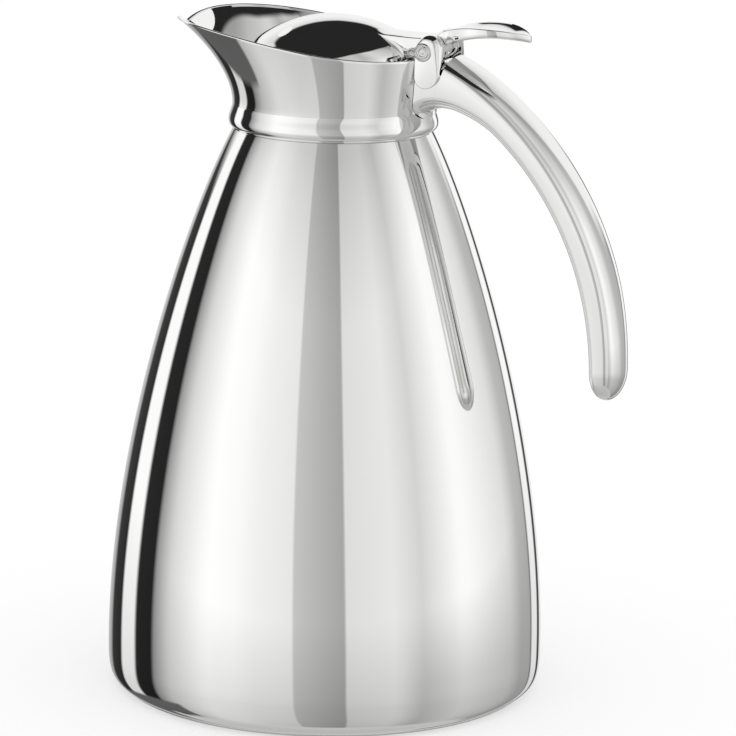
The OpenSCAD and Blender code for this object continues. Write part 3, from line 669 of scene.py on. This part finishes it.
def at_x(controls, x):
    """Second coordinate of a Bezier curve that runs along X, at x."""
    rising = controls[3][0] > controls[0][0]
    low, high = 0.0, 1.0
    for _ in range(40):
        m = (low + high) / 2
        if (bezier(controls, m).x < x) == rising:
            low = m
        else:
            high = m
    return bezier(controls, low).y


def smooth_max(a, b, k):
    """The larger of a and b, rounded over where they come within k of each other."""
    h = max(0.0, k - abs(a - b)) / k
    return max(a, b) + h * h * k / 4


def lever_top(x, y, half):
    """Height of the lever's top: the arm on the dome, crowned, then the pad, dished for the thumb."""
    if x < ARM_TIP_X:
        level = PIN_Z + ARM_TIP_RISE
    elif x < arm_end[0]:
        level = at_x(arm_top, x)
    else:
        level = at_x(pad_top, x)
    dish = DISH_DEPTH * max(0.0, 1 - (y / half) ** 2)
    dish *= smooth_step((x - PIN_X - 6) / 7) * (1 - smooth_step((x - LEVER_TIP_X + 6) / 6))
    level += ARM_CROWN * (1 - (y / half) ** 2) * (1 - smooth_step((x - CROWN_TO_X) / CROWN_FADE)) - dish
    dome = dome_height(x, y) if x < DOME_TO_X else None
    return smooth_max(level, dome - 0.03, RUN_OUT) if dome else level


def lever_ring(x, across=20, up=6, corner=3, edge=0.35, low_edge=0.9):
    """Section of the lever across its length: a crisp edge each side of the dished top, and walls
    that run out into the dome or round into the underside."""
    half = KNUCKLE_Y if x < PAD_FROM_X else max(edge, at_x(pad_plan, x))
    if x < PAD_UNDER_X:
        under = PIN_Z - 3 if x > ARM_TIP_X else PIN_Z
        under = max(under, (dome_height(x, half) or 0.0) - 0.7)
        under = mix(under, PIN_Z + 1.2, smooth_step((x - PIN_X - 1) / 3.3))
    else:
        under = at_x(pad_under, x)
    top_edge = lever_top(x, half, half)
    ring = []
    for k in range(corner + 1):
        b = math.pi / 2 * k / corner
        ring.append((x, half - edge * (1 - math.cos(b)), top_edge - edge * (1 - math.sin(b))))
    for i in range(1, across):
        y = mix(half - edge, -half + edge, i / across)
        ring.append((x, y, lever_top(x, y, half)))
    for k in range(corner, -1, -1):
        b = math.pi / 2 * k / corner
        ring.append((x, -half + edge * (1 - math.cos(b)), top_edge - edge * (1 - math.sin(b))))
    wall_low = min(under + low_edge, top_edge - edge - 0.1)
    for sign in (-1, 1):
        part = []
        for k in range(up + 1):
            b = math.pi / 2 * k / up
            part.append((x, sign * (half - low_edge * min(1.0, half / 3) * (1 - math.cos(b))),
                         mix(wall_low, min(under, wall_low), math.sin(b))))
        ring += part if sign < 0 else part[::-1]
    return ring


even_steps = int((PIN_X + 6 - LEVER_FROM_X) / LEVER_STEP)
lever_x = [LEVER_FROM_X + LEVER_STEP * i for i in range(even_steps + 1)]
lever_x += [mix(lever_x[-1], LEVER_TIP_X, math.sin(math.pi / 2 * i / PAD_STEPS))
            for i in range(1, PAD_STEPS + 1)]
knuckle = along_y(fillet([(0, -KNUCKLE_Y), (KNUCKLE_R, -KNUCKLE_Y, 0.3), (KNUCKLE_R, KNUCKLE_Y, 0.3),
                          (0, KNUCKLE_Y)]), (PIN_X, PIN_Z))
make("lid_lever_casting", join(skin([lever_ring(x) for x in lever_x]), knuckle), ["lid_lever"],
     body="lid", crease=40)

arm_pin_at = (PIN_X - 4.7, PIN_Z - 0.8)
ARM_PIN_R = 1.45
ARM_PIN_WAIST = 1.36   # clear of the spring's coils
make("arm_pin_turned", along_y(fillet([
    (0, -GAP_Y - 0.7), (0.8, -GAP_Y - 0.7, 0.1), (0.95, -GAP_Y - 1, 0.15), (ARM_PIN_R, -GAP_Y - 1, 0.25),
    (ARM_PIN_R, -GAP_Y + 0.5), (ARM_PIN_WAIST, -GAP_Y + 0.7), (ARM_PIN_WAIST, GAP_Y + 0.05),
    (ARM_PIN_R, GAP_Y + 0.15),
    (ARM_PIN_R, GAP_Y + 1, 0.25), (0.95, GAP_Y + 1, 0.15), (0.8, GAP_Y + 0.7, 0.1), (0, GAP_Y + 0.7)]),
    arm_pin_at), ["arm_pin"], body="lid", crease=40)

# ---- studio --------------------------------------------------------------------------------------

# A white tent with black flags: what the polished metal mirrors. Each panel runs between two
# directions, in degrees round from the lens, and has a grey at each end, as bare steel would show it.
LENS_SIDE = 22.0       # degrees that the lens stands round from the jug's side
STEEL_GIVES_BACK = 0.9    # share of the light that polished steel reflects
PANELS_LEFT = [
    (-180, -160, 235, 175),     # wall behind, turning away
    (-155, -140, 60, 45),       # first flag
    (-137, -123, 250, 250),     # slit of light between the flags
    (-120, -106, 40, 35),       # second flag
    (-103, -92, 150, 210),      # left wall, in the flag's shade
    (-88, -70, 220, 250),       # left wall
    (-65, -50, 255, 250),       # left wall where its lamp is
    (-38, -18, 240, 230),       # left front screen
    (-17, 0, 195, 175)]         # gap that the lens looks through
PANELS_RIGHT = [
    (0, 9.5, 175, 165),         # gap that the lens looks through
    (10.5, 36, 220, 230),       # right front screen
    (52, 76, 210, 250),         # right wall, brighter towards its lamp
    (82, 115, 250, 220),        # right wall
    (127, 139, 185, 175),       # right wall, turning away
    (140.5, 141.5, 130, 130),   # seam
    (143, 153, 245, 245),       # far screen
    (155, 160, 75, 65),         # stand of the far screen
    (162, 180, 245, 240)]       # wall behind
# Patches over the panels: directions from, to and their soft edge in degrees, heights from, to and
# their soft edge as sines, how strongly the patch covers, and its grey. A direction past 180 degrees
# or a sine past 1 means that the patch has no end there.
PATCHES = [
    (-200, -138, 4, 0.17, 1.1, 0.12, 1.0, 238),     # clear wall above the flags, behind the jug
    (138, 200, 4, 0.17, 1.1, 0.12, 1.0, 238),       # the same on the right, above the seam
    (55, 125, 15, -1.1, -0.26, 0.14, 0.3, 150),     # foot of the right wall, in shade
    (-156, -92, 4, -0.72, -0.5, 0.04, 1.0, 112),    # where flags and slit end above the table
    (-200, 200, 4, -1.1, -0.8, 0.05, 1.0, 245)]     # table close by
# How high the tent reaches before its dark open top, in degrees above the jug, by direction
TENT_TOP = [(-180, 32), (-145, 37), (-45, 50), (0, 50), (36, 61), (88, 62), (128, 52), (165, 32), (180, 32)]
TOP_FROM, TOP_TO = -2.5, 1.5    # degrees past that height over which the tent gives way
OPEN_TOP_GREY = 36
TENT_LEAN = 6.0        # degrees: the tent's bands drift sideways with height
RIGHT_ANGLE = 90.0
# Share of its light that the tent keeps, by sine of the height: it fades towards table and top
FADE = [(-1, 0.5), (-0.7, 0.6), (-0.34, 0.7), (-0.12, 1), (0.35, 1), (0.65, 0.7), (1, 0.65)]


def neutral(light):
    """That much light in each colour."""
    return (light,) * 3 + (1,)


def lit(grey):
    """Light level that bare steel shows as this sRGB grey."""
    return linear("#" + 3 * format(grey, "02x"))[0] / STEEL_GIVES_BACK


world = bpy.data.worlds.new("white_tent")
bpy.context.scene.world = world
world.use_nodes = True
sky = world.node_tree
sky.nodes.clear()


def graded(value, points, smoothing="LINEAR"):
    """Light that follows value along (place, light) points."""
    low, high = points[0][0], points[-1][0]
    along = add(sky, "ShaderNodeMapRange", [("Value", value), ("From Min", low), ("From Max", high)])
    grades = add(sky, "ShaderNodeValToRGB", [("Fac", along.outputs["Result"])],
                 [((at - low) / (high - low), neutral(light)) for at, light in points])
    grades.color_ramp.interpolation = smoothing
    return grades.outputs["Color"]


def panel_points(panels):
    return [end for start, stop, first, last in panels
            for end in ((start, lit(first)), (stop, lit(last)))]


# A colour Mix node's sockets go by number: factor, the colours at 0 and 1, and the result
FACTOR, AT_0, AT_1, MIXED = 0, 6, 7, 2

looking = add(sky, "ShaderNodeTexCoord")
turned = add(sky, "ShaderNodeVectorRotate", [("Vector", looking.outputs["Generated"]),
                                             ("Angle", math.radians(90 - LENS_SIDE))], rotation_type="Z_AXIS")
split = add(sky, "ShaderNodeSeparateXYZ", [("Vector", turned.outputs["Vector"])])
sine = split.outputs["Z"]
angle = add(sky, "ShaderNodeMath", [(0, split.outputs["Y"]), (1, split.outputs["X"])], operation="ARCTAN2")
degrees = add(sky, "ShaderNodeMath", [(0, angle.outputs[0])], operation="DEGREES")
direction = add(sky, "ShaderNodeMath", [(0, sine), (1, TENT_LEAN), (2, degrees.outputs[0])],
                operation="MULTIPLY_ADD").outputs[0]

on_right = add(sky, "ShaderNodeMath", [(0, direction), (1, 0.0)], operation="GREATER_THAN")
around = add(sky, "ShaderNodeMix", [(FACTOR, on_right.outputs[0]),
                                    (AT_0, graded(direction, panel_points(PANELS_LEFT))),
                                    (AT_1, graded(direction, panel_points(PANELS_RIGHT)))],
             data_type="RGBA").outputs[MIXED]
for from_side, to_side, side_soft, from_sine, to_sine, sine_soft, cover, grey in PATCHES:
    for value, low, high, soft in ((direction, from_side, to_side, side_soft),
                                   (sine, from_sine, to_sine, sine_soft)):
        for start, end in ((low - soft, low), (high + soft, high)):
            edge = add(sky, "ShaderNodeMapRange", [("Value", value), ("From Min", start), ("From Max", end)])
            cover = add(sky, "ShaderNodeMath", [(0, cover), (1, edge.outputs["Result"])],
                        operation="MULTIPLY").outputs[0]
    around = add(sky, "ShaderNodeMix", [(FACTOR, cover), (AT_0, around), (AT_1, neutral(lit(grey)))],
                 data_type="RGBA").outputs[MIXED]
faded = add(sky, "ShaderNodeVectorMath", [(0, around), (1, graded(sine, FADE))], operation="MULTIPLY")

# Heights here are shares of a right angle, which a ramp can hold
radians_up = add(sky, "ShaderNodeMath", [(0, sine)], operation="ARCSINE")
height = add(sky, "ShaderNodeMath", [(0, radians_up.outputs[0]), (1, math.pi / 2)], operation="DIVIDE")
tent_top = graded(direction, [(at, top / RIGHT_ANGLE) for at, top in TENT_TOP], "CARDINAL")
past_top = add(sky, "ShaderNodeMath", [(0, height.outputs[0]), (1, tent_top)], operation="SUBTRACT")
over = add(sky, "ShaderNodeMapRange", [("Value", past_top.outputs[0]), ("From Min", TOP_FROM / RIGHT_ANGLE),
                                       ("From Max", TOP_TO / RIGHT_ANGLE)], interpolation_type="SMOOTHSTEP")
mirrored = add(sky, "ShaderNodeMix", [(FACTOR, over.outputs["Result"]), (AT_0, faded.outputs[0]),
                                      (AT_1, neutral(lit(OPEN_TOP_GREY)))], data_type="RGBA")

# Reflections show the tent; the background and the light on matt things are plain white
path = add(sky, "ShaderNodeLightPath")
seen = add(sky, "ShaderNodeMix", [(FACTOR, path.outputs["Is Glossy Ray"]), (AT_0, neutral(1.0)),
                                  (AT_1, mirrored.outputs[MIXED])], data_type="RGBA")
glow = add(sky, "ShaderNodeBackground", [("Color", seen.outputs[MIXED]), ("Strength", 1.0)])
add(sky, "ShaderNodeOutputWorld", [("Surface", glow.outputs["Background"])])

# White table that glows a little, so that it keeps only a light shadow; reflections leave it out
TABLE_REACH = 4.0      # metres
table_mesh = bpy.data.meshes.new("table")
table_corners = [(x * TABLE_REACH, y * TABLE_REACH, 0) for x, y in ((-1, -1), (1, -1), (1, 1), (-1, 1))]
table_mesh.from_pydata(table_corners, [], [(0, 1, 2, 3)])
table = put_in_scene("table", table_mesh)
paper, _, _ = new_material("matt_white_paper", [
    ("Base Color", linear("#BCBCBC")), ("Roughness", 1.0), ("Specular IOR Level", 0.0),
    ("Emission Color", linear("#FFFFFF")), ("Emission Strength", 0.52)])
table_mesh.materials.append(paper)
table.visible_glossy = False

# Small white card over the spout, seen only in reflections: it fills the dark inside of the lip
CARD_R, CARD_OFF, CARD_SIDES = 7.0, 30.0, 36
LIP_INSIDE = Vector((-45.2, 4.0, 196.6))
CARD_WAY = Vector((0.235, 0.441, 0.866)).normalized()
turn_to_lip = CARD_WAY.to_track_quat("Z", "Y")
card_middle = LIP_INSIDE + CARD_OFF * CARD_WAY
card_edge = [card_middle + turn_to_lip @ p.to_3d() for p in arc((0, 0), CARD_R, 0, 360, CARD_SIDES)[:-1]]
card_mesh = bpy.data.meshes.new("card")
card_mesh.from_pydata([p * MM for p in card_edge], [], [tuple(range(CARD_SIDES))])
card = put_in_scene("card", card_mesh)
card_paint, _, _ = new_material("white_card", [
    ("Base Color", linear("#000000")), ("Specular IOR Level", 0.0),
    ("Emission Color", linear("#FFFFFF")), ("Emission Strength", 0.98)])
card_mesh.materials.append(card_paint)
card.visible_camera = False
card.visible_diffuse = False
card.visible_shadow = False

# ---- camera --------------------------------------------------------------------------------------

CAMERA_AT = (0.44854, -1.11017, 0.36094)    # metres
YAW, PITCH, ROLL = math.radians(0.548), math.radians(12.479), math.radians(1.14)
FOCAL_PX, IMAGE_PX, SENSOR_MM = 4127, 736, 36
NEAREST, FARTHEST = 0.1, 20                 # metres that the lens shows

forward = Vector((math.sin(YAW) * math.cos(PITCH), math.cos(YAW) * math.cos(PITCH), -math.sin(PITCH)))
level_right = Vector((math.cos(YAW), -math.sin(YAW), 0))
level_up = level_right.cross(forward)
right = level_right * math.cos(ROLL) + level_up * math.sin(ROLL)
upward = level_up * math.cos(ROLL) - level_right * math.sin(ROLL)
about = Matrix.Rotation(math.radians(LENS_SIDE), 3, "Z")
basis = Matrix((about @ right, about @ upward, about @ -forward)).transposed()
lens = bpy.data.cameras.new("lens")
lens.lens = FOCAL_PX / IMAGE_PX * SENSOR_MM
lens.clip_start, lens.clip_end = NEAREST, FARTHEST
camera = put_in_scene("camera", lens)
camera.matrix_world = Matrix.Translation(CAMERA_AT) @ basis.to_4x4()
bpy.context.scene.camera = camera
bpy.context.scene.view_settings.view_transform = "Standard"
